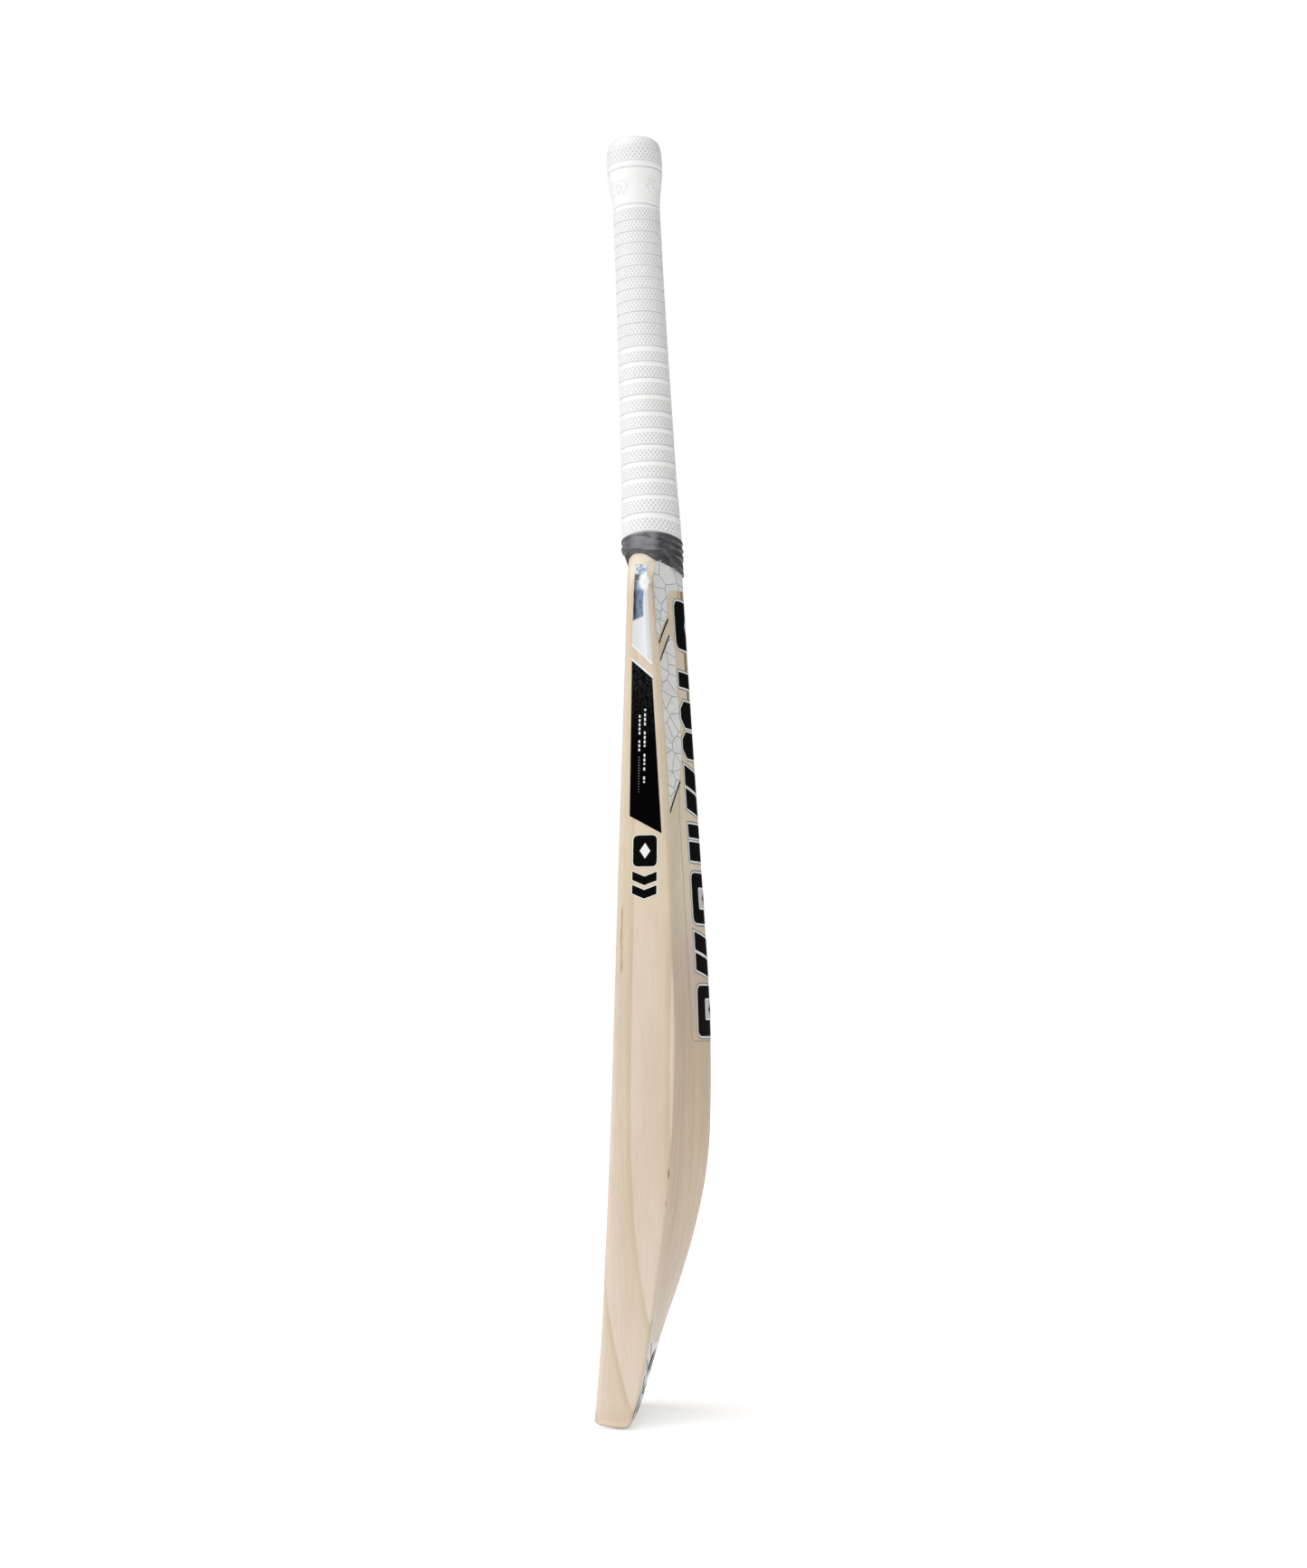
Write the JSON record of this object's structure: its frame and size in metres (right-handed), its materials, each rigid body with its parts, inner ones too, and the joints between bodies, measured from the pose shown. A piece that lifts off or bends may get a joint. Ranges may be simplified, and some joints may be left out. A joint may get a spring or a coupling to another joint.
{
  "type": "cricket bat",
  "caption": "Willow cricket bat with a bulging spine and thick edges, a spliced cane handle with a white ribbed rubber grip, dark shoulder tape and black and silver labels.",
  "frame": {"origin": "on the plane that the toe stands on, under the middle of the bat's box", "axes": "+Z from the toe to the end of the handle; +Y from the striking face to the spine; +X across the blade"},
  "size_m": [0.1094, 0.0786, 0.8481],
  "materials": {
    "willow": "pale, planed and lightly oiled, fine straight grain",
    "cane": "sanded cane",
    "spring_rubber": "dull",
    "twine": "glued linen thread",
    "grip_rubber": "moulded white rubber, ribbed and pitted",
    "cloth_tape": "wrinkled cloth tape",
    "guard_plastic": "pale, slightly clear",
    "mirror_foil": "mirror foil",
    "grey_film": "printed vinyl film",
    "black_film": "printed vinyl film"
  },
  "bodies": {
    "root": {"back_block_1": "black_film", "back_block_2": "black_film", "back_block_3": "black_film", "back_block_4": "black_film", "back_block_5": "black_film", "back_block_6": "black_film", "back_block_7": "black_film", "back_block_8": "black_film", "back_film_left": "grey_film", "back_film_right": "grey_film", "blade": "willow", "cane_slip_inner_left_back": "cane", "cane_slip_inner_left_front": "cane", "cane_slip_inner_left_middle": "cane", "cane_slip_inner_right_back": "cane", "cane_slip_inner_right_front": "cane", "cane_slip_inner_right_middle": "cane", "cane_slip_outer_left_back": "cane", "cane_slip_outer_left_front": "cane", "cane_slip_outer_left_middle": "cane", "cane_slip_outer_right_back": "cane", "cane_slip_outer_right_front": "cane", "cane_slip_outer_right_middle": "cane", "edge_foil_left": "mirror_foil", "edge_foil_right": "mirror_foil", "edge_mark_lower_left": "black_film", "edge_mark_lower_right": "black_film", "edge_mark_upper_left": "black_film", "edge_mark_upper_right": "black_film", "edge_panel_left": "black_film", "edge_panel_right": "black_film", "face_label": "black_film", "grip": "grip_rubber", "shoulder_tape": "cloth_tape", "spring_centre": "spring_rubber", "spring_left": "spring_rubber", "spring_right": "spring_rubber", "toe_guard": "guard_plastic", "toe_label": "grey_film", "twine_binding": "twine"}
  },
  "joints": []
}
